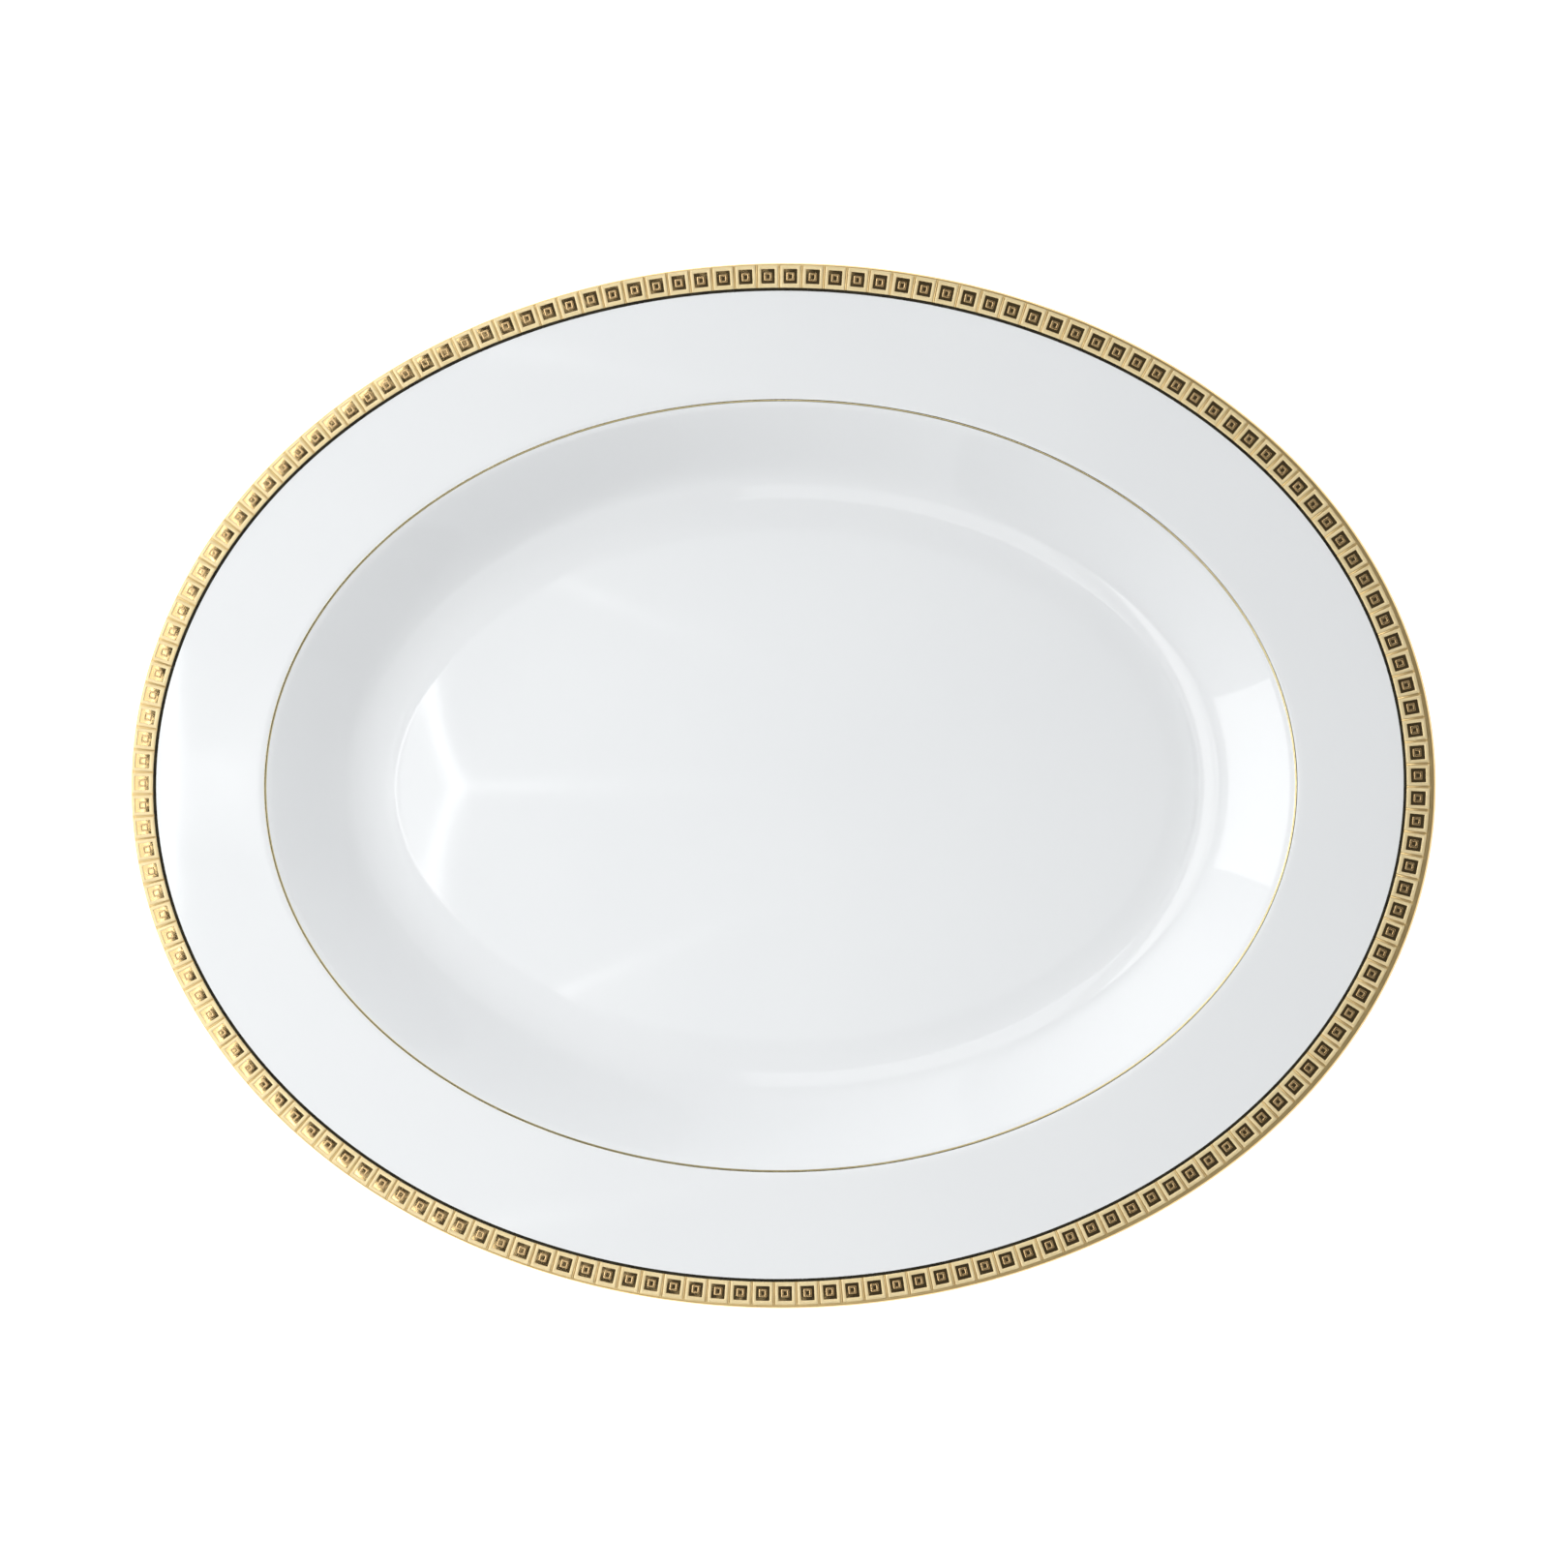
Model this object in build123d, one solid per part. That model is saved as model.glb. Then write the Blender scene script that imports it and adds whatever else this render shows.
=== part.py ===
from build123d import *
import math
import os

# An oval china serving platter: glazed porcelain on a foot ring, with a gilded edge, a
# gilded frieze of small squares in relief and a fine gold line round the well.
# Millimetres. +X is the long way, +Y the short way, +Z up. The origin is the middle of
# the flat that the foot ring stands on.

# Driving dimensions
LENGTH = 380.0
WIDTH = 303.0
RIM_TOP = 32.2  # where the slope of the rim would meet the upright at the edge
GLAZE = 0.35  # glaze coat, modelled thicker than the fired one so that it is a solid
GILT = 0.2  # gilding, thickened for the same reason

# Upper surface, by inset from the edge
LIP_IN = 1.0  # how far in the round of the lip reaches, on top
LIP_DROP = 1.7  # from the rim top to the middle of the lip
RIM_SLOPE = 0.08
SHOULDER_IN = 39.7  # the corner that the shoulder rounds
SHOULDER_ROUND = 2.6  # length of each tangent of that round
WALL_SLOPE = 0.85
WALL_RUN = 12.0  # how far the wall keeps its slope, as a tangent length
TURN_IN = 62.5  # where the wall has turned into the gentle edge of the floor
TURN_RISE = 2.1  # height of that place above the floor
TURN_SLOPE = 0.36
TURN_RUN = 4.5
FLOOR_RUN = 6.0  # tangent length of the floor towards its edge
FLOOR_IN = 76.0  # where the floor is flat
FLOOR_TOP = 8.5

# Lower surface and foot ring
LIP_UNDER_IN = 1.6
EDGE_THICK = 3.4
WALL_THICK = 4.3
UNDER_BACK = 2.0  # the shoulder underneath lies this much nearer to the edge
UNDER_ROUND = 2.0
UNDER_RUN = 7.0  # tangent of the underside where it meets the foot ring
UNDER_SLOPE = 0.2
FOOT_OUT = 66.5  # inset of the outside of the foot ring, where it meets the wall
FOOT_WIDE = 6.4  # from there to where it meets the recess
FOOT_TAPER = 1.0
FOOT_TOP = 5.2  # height of the underside where the foot ring leaves it
BEARING_ROUND = 0.7
RECESS_EDGE = 4.6
RECESS_IN = 91.0  # where the recess is flat
RECESS_RUN = 5.0  # tangent length of the recess away from the foot ring
RECESS_TOP = 3.6  # the flat middle of the recess inside the foot ring

# Frieze of squares
SQUARES = 161
BORDER_SHIFT = (-0.75, 0.25)  # the frieze was laid a little off the middle of the oval
FIRST_SQUARE = 0.76  # place of the first one clockwise from +X, in pitches
BORDER_OUT = 0.85
BORDER_EDGE_GAP = 0.5  # nothing of the frieze comes nearer to the edge than this
FRAME_DEEP = 6.5
FRAME_WIDE = 5.85
FRAME_BAR_OUT = 1.09
FRAME_BAR_IN = 1.22
FRAME_BAR_SIDE = 0.92
RING_WIDE = 2.3
RING_DEEP = 2.3
RING_BAR_SIDE = 0.62
RING_BAR_END = 0.55
FRAME_HIGH = 0.3
RING_HIGH = 0.22
DIVIDER_WIDE = 0.4
DIVIDER_HIGH = 0.18
LINE_WIDE = 0.85  # the dark line along the inside of the frieze
GROUND_IN = 9.4  # how far in the ground is laid before it is cut to the frieze
PLUG_REACH = 5.0  # how far a cutting plug goes above and below the rim top
CLEAR = 0.005  # keeps the flat squares off the slightly hollow slope of the rim
LINE_HIGH = 0.12

# Gold line on the shoulder of the well
WELL_LINE_IN = 39.4
WELL_LINE_WIDE = 0.65

EDGE_A = LENGTH / 2 - GILT
EDGE_B = WIDTH / 2 - GILT
ROOT_HALF = math.sqrt(0.5)  # weight of the middle point of a quarter ellipse
HALVINGS = 50  # steps of each search by halving
QUARTER_ENDS = ((1, 0), (0, 1), (-1, 0), (0, -1), (1, 0))  # counterclockwise from +X


# ---- the oval family: every level curve is an ellipse at a constant inset ----


def quarter_points(inset, height, quarter, centre=(0.0, 0.0)):
    """The three control points of one quarter of the oval at this inset."""
    start, end = QUARTER_ENDS[quarter], QUARTER_ENDS[quarter + 1]
    corner = (start[0] + end[0], start[1] + end[1])
    a, b = EDGE_A - inset, EDGE_B - inset
    return [Vector(x * a + centre[0], y * b + centre[1], height) for x, y in (start, corner, end)]


def oval_wire(inset, height=0.0, centre=(0.0, 0.0)):
    """The whole oval as a wire of four exact quarter ellipses."""
    weights = [1.0, ROOT_HALF, 1.0]
    quarters = [quarter_points(inset, height, q, centre) for q in range(4)]
    return Wire([Edge.make_bezier(*points, weights=weights) for points in quarters])


def swept_faces(points, weights):
    """One stretch of the section, carried round the oval as four patches."""
    if len(points) == 2 and points[0][1] == points[1][1]:
        insets = sorted(inset for inset, _ in points)
        outer = oval_wire(insets[0], points[0][1])
        return [Face(outer, [oval_wire(insets[1], points[0][1])])]
    faces = []
    for quarter in range(4):
        net = [quarter_points(inset, height, quarter) for inset, height in points]
        net_weights = [[w, w * ROOT_HALF, w] for w in weights]
        faces.append(Face.make_bezier_surface(net, net_weights))
    return faces


def section_faces(section):
    """All the faces that a section sweeps: a list of (control points, weights)."""
    return [face for points, weights in section for face in swept_faces(points, weights)]


def cap(inset, height):
    return Face(oval_wire(inset, height))


def closed_solid(faces):
    solid = Solid(Shell(faces))
    return solid if solid.volume > 0 else Solid(Shell([-face for face in faces]))


def oval_plate(inset, low, high, centre=(0.0, 0.0)):
    return extrude(Face(oval_wire(inset, low, centre)), amount=high - low, dir=(0, 0, 1))


def line(start, end):
    return ([start, end], [1.0, 1.0])


def curve(*points):
    return (list(points), [1.0] * len(points))


def quarter_round(start, corner, end):
    return ([start, corner, end], [1.0, ROOT_HALF, 1.0])


# ---- sections: (inset, height) points from the middle of the well outwards ----


def toward(start, end, distance):
    """The point this far from start on the way to end."""
    length = math.dist(start, end)
    return tuple(s + (e - s) * distance / length for s, e in zip(start, end))


def rim_height(inset):
    return RIM_TOP - RIM_SLOPE * inset


def upper_section():
    """The glazed top, from the flat floor out to the side of the lip."""
    lip = (LIP_IN, rim_height(LIP_IN))
    corner = (SHOULDER_IN, rim_height(SHOULDER_IN))
    wall_tangent = (SHOULDER_IN + WALL_RUN, corner[1] - WALL_SLOPE * WALL_RUN)
    shoulder_out = toward(corner, lip, SHOULDER_ROUND)
    shoulder_in = toward(corner, wall_tangent, SHOULDER_ROUND)
    floor = (FLOOR_IN, FLOOR_TOP)
    floor_tangent = (FLOOR_IN - FLOOR_RUN, FLOOR_TOP)
    turn = (TURN_IN, FLOOR_TOP + TURN_RISE)
    below = (TURN_IN + TURN_RUN, turn[1] - TURN_SLOPE * TURN_RUN)
    above = (TURN_IN - TURN_RUN, turn[1] + TURN_SLOPE * TURN_RUN)
    return [
        curve(floor, floor_tangent, below, turn),
        curve(turn, above, wall_tangent, shoulder_in),
        curve(shoulder_in, corner, shoulder_out),
        line(shoulder_out, lip),
        quarter_round(lip, (0.0, RIM_TOP), (0.0, RIM_TOP - LIP_DROP)),
    ]


def under_section():
    """The glazed underside, from the side of the lip in to the foot ring."""
    under = RIM_TOP - EDGE_THICK
    lip_end = (LIP_UNDER_IN, under)
    thicker = WALL_THICK - EDGE_THICK
    fall = RIM_SLOPE * SHOULDER_IN + thicker
    corner = (SHOULDER_IN - UNDER_BACK, under - fall)
    wall_tangent = (corner[0] + WALL_RUN, corner[1] - WALL_SLOPE * WALL_RUN)
    bend_out = toward(corner, lip_end, UNDER_ROUND)
    bend_in = toward(corner, wall_tangent, UNDER_ROUND)
    foot = (FOOT_OUT, FOOT_TOP)
    foot_tangent = (FOOT_OUT - UNDER_RUN, FOOT_TOP + UNDER_SLOPE * UNDER_RUN)
    return [
        quarter_round((0.0, RIM_TOP - LIP_DROP), (0.0, under), lip_end),
        line(lip_end, bend_out),
        curve(bend_out, corner, bend_in),
        curve(bend_in, wall_tangent, foot_tangent, foot),
        line(foot, (FOOT_OUT + FOOT_TAPER, BEARING_ROUND)),
    ]


def recess_section():
    """The glazed recess, from inside the foot ring in to its flat middle."""
    inner = FOOT_OUT + FOOT_WIDE
    edge = (inner, RECESS_EDGE)
    middle = (RECESS_IN, RECESS_TOP)
    return [
        line((inner - FOOT_TAPER, BEARING_ROUND), edge),
        curve(edge, (inner + RECESS_RUN, RECESS_TOP), middle),
    ]


def control_line(section):
    """The control points of a section, end to end, each once."""
    points = [section[0][0][0]]
    for stretch, _ in section:
        points.extend(stretch[1:])
    return points


def shifted(points, distance):
    """The same run of points moved sideways, to the right of its direction."""
    normals = []
    for start, end in zip(points, points[1:]):
        length = math.dist(start, end)
        normals.append(((end[1] - start[1]) / length, (start[0] - end[0]) / length))
    moved = []
    for i, point in enumerate(points):
        first, second = normals[max(i - 1, 0)], normals[min(i, len(normals) - 1)]
        scale = distance / (1 + first[0] * second[0] + first[1] * second[1])
        moved.append(tuple(p + scale * (f + s) for p, f, s in zip(point, first, second)))
    return moved


def offset_section(section, distance):
    """The section moved sideways by moving its control points."""
    points = shifted(control_line(section), distance)
    result, start = [], 0
    for stretch, weights in section:
        count = len(stretch)
        result.append((points[start:start + count], weights))
        start += count - 1
    return result


def split(stretch, share):
    """The two parts of a stretch, cut at this share of its parameter."""
    points, weights = stretch
    rows = [[(w * inset, w * height, w) for (inset, height), w in zip(points, weights)]]
    while len(rows[-1]) > 1:
        last = rows[-1]
        rows.append([between(p, q, share) for p, q in zip(last, last[1:])])
    return flattened([row[0] for row in rows]), flattened([row[-1] for row in reversed(rows)])


def between(start, end, share):
    return tuple(s + (e - s) * share for s, e in zip(start, end))


def flattened(weighted):
    """A stretch from points that carry their weight as a third value."""
    points = [(inset / w, height / w) for inset, height, w in weighted]
    return points, [w for _, _, w in weighted]


def cut_at(stretch, inset):
    """The two parts of an outward-running stretch, cut where it has this inset."""
    low, high = 0.0, 1.0
    for _ in range(HALVINGS):
        middle = (low + high) / 2
        reached = split(stretch, middle)[0][0][-1][0]
        if reached > inset:
            low = middle
        else:
            high = middle
    return split(stretch, low)


def skin(section, thickness):
    """A closed layer of this thickness on the outside of a section."""
    raised = offset_section(section, thickness)
    ends = [line(section[0][0][0], raised[0][0][0]), line(section[-1][0][-1], raised[-1][0][-1])]
    return closed_solid(section_faces(section + raised + ends))


# ---- porcelain and glaze ----


def outside_section():
    """The glazed skin in one run: floor, wall, rim, lip, underside, foot ring."""
    return upper_section() + under_section()


def porcelain_body():
    outside = offset_section(outside_section(), -GLAZE)
    recess = offset_section(recess_section(), -GLAZE)
    outer_end, inner_end = outside[-1][0][-1], recess[0][0][0]
    stand_out = (outer_end[0] + BEARING_ROUND, 0.0)
    stand_in = (inner_end[0] - BEARING_ROUND, 0.0)
    bearing = [line(outer_end, stand_out), line(stand_out, stand_in), line(stand_in, inner_end)]
    caps = [cap(*outside[0][0][0]), cap(*recess[-1][0][-1])]
    return closed_solid(section_faces(outside + bearing + recess) + caps)


def glaze_coat():
    glazed = outside_section()
    inside = offset_section(glazed, -GLAZE)
    end = line(glazed[-1][0][-1], inside[-1][0][-1])
    caps = [cap(*glazed[0][0][0]), cap(*inside[0][0][0])]
    return closed_solid(section_faces(glazed + inside + [end]) + caps)


def foot_recess_glaze():
    glazed = recess_section()
    inside = offset_section(glazed, -GLAZE)
    end = line(glazed[0][0][0], inside[0][0][0])
    caps = [cap(*glazed[-1][0][-1]), cap(*inside[-1][0][-1])]
    return closed_solid(section_faces(glazed + inside + [end]) + caps)


# ---- gilding ----


def rim_edge_gold():
    """The gilded round of the lip, from the frieze's ground to half way under."""
    lip_top = upper_section()[-1]
    lip_under = under_section()[0]
    return skin([cut_at(lip_top, BORDER_EDGE_GAP)[1], split(lip_under, 0.5)[0]], GILT)


def well_gold_line():
    shoulder = upper_section()[2]
    outer_part = cut_at(shoulder, WELL_LINE_IN + WELL_LINE_WIDE / 2)[1]
    return skin([cut_at(outer_part, WELL_LINE_IN - WELL_LINE_WIDE / 2)[0]], LINE_HIGH)


def border_plate(inset):
    """A tall plug with the outline of the frieze's oval at this inset."""
    return oval_plate(inset, RIM_TOP - PLUG_REACH, RIM_TOP + PLUG_REACH, BORDER_SHIFT)


def border_gold_ground():
    """The polished band under the squares, cut to the frieze inside."""
    rim = cut_at(upper_section()[-2], GROUND_IN)[1]
    lip_part = cut_at(upper_section()[-1], BORDER_EDGE_GAP)[0]
    return skin([rim, lip_part], GILT) - border_plate(BORDER_OUT + FRAME_DEEP)


def border_inner_line():
    rim = cut_at(upper_section()[-2], GROUND_IN)[1]
    outer_in = BORDER_OUT + FRAME_DEEP
    line_skin = skin([rim], LINE_HIGH) & border_plate(outer_in)
    return line_skin - border_plate(outer_in + LINE_WIDE)


def inset_of(spot):
    """The inset of the oval that passes under a point of the frieze."""
    low, high = 0.0, GROUND_IN
    for _ in range(HALVINGS):
        middle = (low + high) / 2
        reach = math.hypot(spot.X / (EDGE_A - middle), spot.Y / (EDGE_B - middle))
        if reach < 1:
            low = middle
        else:
            high = middle
    return low


def square_places(offset=0.0):
    """Places of the squares on the gold ground, equally far apart along the frieze."""
    path = oval_wire(BORDER_OUT + FRAME_DEEP / 2, 0.0, BORDER_SHIFT)
    rise = GILT * math.hypot(1, RIM_SLOPE) + CLEAR
    places = []
    for i in range(SQUARES):
        share = (-(i + FIRST_SQUARE + offset) / SQUARES) % 1.0
        spot, along = path @ share, path % share
        outward = Vector(along.Y, -along.X, 0)
        seat = Vector(spot.X, spot.Y, rim_height(inset_of(spot)) + rise)
        up = Vector(0, 0, 1) - outward * RIM_SLOPE
        places.append(Location(Plane(origin=seat, x_dir=along, z_dir=up)))
    return places


def bar_frame(wide, deep, side, outer_end, inner_end, height):
    """A square frame: local +X along the frieze, -Y outwards."""
    opening = (wide - 2 * side, deep - outer_end - inner_end)
    middle = (outer_end - inner_end) / 2
    outline = Rectangle(wide, deep) - Pos(0, middle) * Rectangle(*opening)
    return extrude(outline, amount=height, dir=(0, 0, 1))


def trimmed(piece, limit):
    """The piece without what would hang over the lip."""
    box, room = piece.bounding_box(), (EDGE_A - BORDER_EDGE_GAP, EDGE_B - BORDER_EDGE_GAP)
    corners = [(x, y) for x in (box.min.X, box.max.X) for y in (box.min.Y, box.max.Y)]
    reach = max(math.hypot(x / room[0], y / room[1]) for x, y in corners)
    return piece & limit if reach > 1 else piece


def along_frieze(piece, offset=0.0):
    """One copy of the piece at each place, kept off the lip."""
    limit = oval_plate(BORDER_EDGE_GAP, RIM_TOP - PLUG_REACH, RIM_TOP + PLUG_REACH)
    return Compound([trimmed(place * piece, limit) for place in square_places(offset)])


def border_square_frames():
    bars = (FRAME_BAR_SIDE, FRAME_BAR_OUT, FRAME_BAR_IN)
    return along_frieze(bar_frame(FRAME_WIDE, FRAME_DEEP, *bars, FRAME_HIGH))


def border_square_rings():
    bars = (RING_BAR_SIDE, RING_BAR_END, RING_BAR_END)
    return along_frieze(bar_frame(RING_WIDE, RING_DEEP, *bars, RING_HIGH))


def border_dividers():
    bar = extrude(Rectangle(DIVIDER_WIDE, FRAME_DEEP), amount=DIVIDER_HIGH, dir=(0, 0, 1))
    return along_frieze(bar, 0.5)


NODES = {
    "porcelain_body": porcelain_body,
    "glaze_coat": glaze_coat,
    "foot_recess_glaze": foot_recess_glaze,
    "rim_edge_gold": rim_edge_gold,
    "border_gold_ground": border_gold_ground,
    "border_square_frames": border_square_frames,
    "border_square_rings": border_square_rings,
    "border_dividers": border_dividers,
    "border_inner_line": border_inner_line,
    "well_gold_line": well_gold_line,
}

os.makedirs("parts", exist_ok=True)
for node, make in NODES.items():
    export_step(make(), f"parts/{node}.step")
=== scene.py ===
import math

import bmesh
import bpy
import numpy as np
from mathutils import Matrix, Vector


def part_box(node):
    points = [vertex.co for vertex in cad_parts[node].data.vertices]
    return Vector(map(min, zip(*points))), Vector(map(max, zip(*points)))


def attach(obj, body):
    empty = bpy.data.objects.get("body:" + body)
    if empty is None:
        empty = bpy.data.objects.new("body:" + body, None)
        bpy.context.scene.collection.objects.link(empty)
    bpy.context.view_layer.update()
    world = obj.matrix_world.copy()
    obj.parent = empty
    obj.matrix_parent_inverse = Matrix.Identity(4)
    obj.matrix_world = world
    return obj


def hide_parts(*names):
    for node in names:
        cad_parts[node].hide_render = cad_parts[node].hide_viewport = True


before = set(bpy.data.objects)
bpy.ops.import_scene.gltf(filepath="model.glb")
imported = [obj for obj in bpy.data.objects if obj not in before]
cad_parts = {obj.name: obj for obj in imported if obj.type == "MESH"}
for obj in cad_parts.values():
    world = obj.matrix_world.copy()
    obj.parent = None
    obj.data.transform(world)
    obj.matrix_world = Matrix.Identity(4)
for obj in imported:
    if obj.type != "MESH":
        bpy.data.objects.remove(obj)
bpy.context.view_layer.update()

# An oval porcelain platter with a gilded edge. Everything below is in millimetres until
# a mesh is made, and follows one family of ovals: at an inset d from the glazed edge the
# outline is an ellipse with both half axes shorter by d.

MM = 0.001
GLAZE_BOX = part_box("glaze_coat")
EDGE_A = (GLAZE_BOX[1][0] - GLAZE_BOX[0][0]) / 2 / MM
EDGE_B = (GLAZE_BOX[1][1] - GLAZE_BOX[0][1]) / 2 / MM

# Section of the porcelain, as in the CAD model
RIM_TOP = 32.2
LIP_IN, LIP_DROP = 1.0, 1.7
RIM_SLOPE = 0.08
SHOULDER_IN, SHOULDER_ROUND = 39.7, 2.6
WALL_SLOPE, WALL_RUN = 0.85, 12.0
TURN_IN, TURN_RISE, TURN_SLOPE, TURN_RUN = 62.5, 2.1, 0.36, 4.5
FLOOR_RUN, FLOOR_IN, FLOOR_TOP = 6.0, 76.0, 8.5
LIP_UNDER_IN, EDGE_THICK, WALL_THICK = 1.6, 3.4, 4.3
UNDER_BACK, UNDER_ROUND, UNDER_RUN, UNDER_SLOPE = 2.0, 2.0, 7.0, 0.2
FOOT_OUT, FOOT_WIDE, FOOT_TAPER, FOOT_TOP = 66.5, 6.4, 1.0, 5.2
BEARING_ROUND, RECESS_EDGE, RECESS_TOP = 0.7, 4.6, 3.6
RECESS_IN, RECESS_RUN = 91.0, 5.0
GLAZE = 0.35

# Gilding and frieze, as in the CAD model
GILT = 0.2
SQUARES = 161
BORDER_SHIFT = (-0.75, 0.25)
FIRST_SQUARE = 0.76
BORDER_OUT, EDGE_GAP = 0.85, 0.5
FRAME_DEEP, FRAME_WIDE = 6.5, 5.85
BAR_OUT, BAR_IN, BAR_SIDE = 1.09, 1.22, 0.92
RING_WIDE, RING_DEEP, RING_SIDE, RING_END = 2.3, 2.3, 0.62, 0.55
FRAME_HIGH, RING_HIGH = 0.3, 0.22
DIVIDER_WIDE, DIVIDER_HIGH = 0.4, 0.18
LINE_WIDE, LINE_HIGH = 0.85, 0.12
WELL_LINE_IN, WELL_LINE_WIDE = 39.4, 0.65
BORDER_MIDDLE = BORDER_OUT + FRAME_DEEP / 2

# Finer form of the gilding, which the CAD model leaves plain
PILLOW, PILLOW_REACH, PILLOW_EDGE = 0.022, 1.4, 0.25  # how far a square's floor bows
HALF_CLEAR = FRAME_WIDE / 2 - 0.5  # polished floor reaches this far under a frame
SUNK = -0.06  # foot of the relief below the gold ground
RELIEF_BEVEL, BEVEL_KNEE = 0.09, 0.3
FRAME_CORNER, RING_CORNER, INNER_CORNER, CORNER_LOSS = 0.3, 0.25, 0.6, 0.5
DIVIDER_BEVEL, DIVIDER_CORNER, DIVIDER_TOP_CORNER = 0.05, 0.12, 0.1
LINE_SUNK, LINE_FALL, LINE_CURVE = 0.05, 0.7, 1.5
LINE_EDGE_SHARE = 0.35  # height of a line's edge, as a share of its crown

# Fineness of the meshes
AROUND = 720  # segments round the oval
TURN_STEPS, SHOULDER_STEPS, RIM_STEPS, LIP_STEPS = 36, 16, 40, 14
LIP_UNDER_STEPS, RIM_UNDER_STEPS, BEND_STEPS = 12, 30, 12
WALL_STEPS, FOOT_STEPS, RECESS_EDGE_STEPS, RECESS_STEPS = 40, 6, 5, 16
CAP_RINGS, CORNER_STEPS, WELL_LINE_STEPS, INNER_LINE_RINGS = 24, 4, 8, 7
GROUND_COLUMNS, GROUND_ROWS, GROUND_ROW_STEP = 16, 17, 0.15
ROW_SQUEEZE, ROW_KEEP = 0.02, 0.5  # rows of the ground that close up at its outer edge
LENGTH_STEPS, DEEPEST_INSET, HALVINGS = 20001, 60.0, 40
SMOOTH_DEG, RELIEF_SMOOTH_DEG = 40.0, 50.0  # edges sharper than this stay sharp
ROOT_HALF = math.sqrt(0.5)

# Stage and lights, in metres; a radiance of 1 is white
NOISE_LOW, NOISE_HIGH = 0.3, 0.7  # the range that a noise value really covers
FLOOR_Z, FLOOR_HALF, FLOOR_CELLS, FLOOR_GLOW = -0.0002, 4.0, 24, 0.62
# Each softbox is (name, place, target, size, radiance, whether reflections show it)
SOFTBOXES = [
    ("left_softbox", (-1.06, 0.0, 1.30), (-1.06, 0.0, 0.0), (0.88, 1.60), 2.1, True),
    ("low_left_softbox", (-1.6, 0.0, 0.35), (0.0, 0.0, 0.05), (1.2, 0.5), 1.9, True),
    ("key", (-0.85, 0.0, 1.30), (-0.85, 0.0, 0.0), (0.5, 1.40), 6.1, False),
]
UMBRELLA_HIGH = 0.808
UMBRELLA_LIGHT_X, UMBRELLA_LIGHT_SIZE = -0.29, (0.42, 0.96)
UMBRELLA_HUB, UMBRELLA_RADIUS = (0.050, 0.0), 0.286
UMBRELLA_SECTORS = 16
UMBRELLA_SECTOR = 2 * math.pi / UMBRELLA_SECTORS
UMBRELLA_SCALLOP = -0.016
UMBRELLA_EDGE_SOFT, UMBRELLA_EDGE_WIDE = 0.004, 0.0035
UMBRELLA_RIB_WIDE, UMBRELLA_RIB_LONG = 0.0025, 0.09
BEYOND_GLOW, EDGE_GLOW, RIB_GLOW = 1.15, 5.5, 2.4

# The studio round the platter: (azimuth, elevation, narrowness, strength) of each soft
# lobe of light, on a dark ground
STUDIO_DARK, STUDIO_TINT = 0.045, (0.99, 1.0, 1.012)
STUDIO_LOBES = [(0, 12, 10, 1.00), (45, 12, 10, 1.40), (90, 12, 10, 0.50), (135, 12, 10, 1.80),
                (180, 12, 10, 0.55), (225, 12, 10, 0.30), (315, 12, 10, 0.70),
                (0, 42, 14, 0.20), (270, 42, 14, 0.75)]

# Camera, nearly straight above
SENSOR_WIDE, CAMERA_LENS = 36.0, 103.03
CAMERA_NEAR, CAMERA_FAR = 0.05, 30.0
CAMERA_AIM, CAMERA_DISTANCE = (0.00292, 0.0005, 0.031), 1.300
CAMERA_TILT_DEG, CAMERA_ROLL_DEG = 5.74, -0.36


# ---- sections ----


def stretch(points, steps, round_end=False):
    """Points along one Bezier stretch; a round one is a quarter of an ellipse."""
    share = np.linspace(0.0, 1.0, steps + 1)[:, None]
    rows = [np.array([p[0], p[1], 1.0]) for p in points]
    if round_end:
        rows[1] = rows[1] * ROOT_HALF
    layers = [np.broadcast_to(row, (steps + 1, 3)) for row in rows]
    while len(layers) > 1:
        layers = [a + (b - a) * share for a, b in zip(layers, layers[1:])]
    return layers[0][:, :2] / layers[0][:, 2:]


def joined(pieces):
    """One run of points, each joint once."""
    return np.concatenate([pieces[0]] + [piece[1:] for piece in pieces[1:]])


def toward(start, end, distance):
    """The point this far along the way from start to end."""
    length = math.dist(start, end)
    return tuple(s + (e - s) * distance / length for s, e in zip(start, end))


def rim_height(inset):
    """Height of the rim's straight slope at this inset."""
    return RIM_TOP - RIM_SLOPE * inset


def upper_section():
    """The glazed top as (inset, height) points, from the flat floor to the lip's side."""
    lip = (LIP_IN, rim_height(LIP_IN))
    corner = (SHOULDER_IN, rim_height(SHOULDER_IN))
    wall_tangent = (SHOULDER_IN + WALL_RUN, corner[1] - WALL_SLOPE * WALL_RUN)
    shoulder_out = toward(corner, lip, SHOULDER_ROUND)
    shoulder_in = toward(corner, wall_tangent, SHOULDER_ROUND)
    turn = (TURN_IN, FLOOR_TOP + TURN_RISE)
    below = (TURN_IN + TURN_RUN, turn[1] - TURN_SLOPE * TURN_RUN)
    above = (TURN_IN - TURN_RUN, turn[1] + TURN_SLOPE * TURN_RUN)
    floor = (FLOOR_IN, FLOOR_TOP)
    return joined([
        stretch([floor, (FLOOR_IN - FLOOR_RUN, FLOOR_TOP), below, turn], TURN_STEPS),
        stretch([turn, above, wall_tangent, shoulder_in], TURN_STEPS),
        stretch([shoulder_in, corner, shoulder_out], SHOULDER_STEPS),
        stretch([shoulder_out, lip], RIM_STEPS),
        stretch([lip, (0.0, RIM_TOP), (0.0, RIM_TOP - LIP_DROP)], LIP_STEPS, True),
    ])


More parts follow.
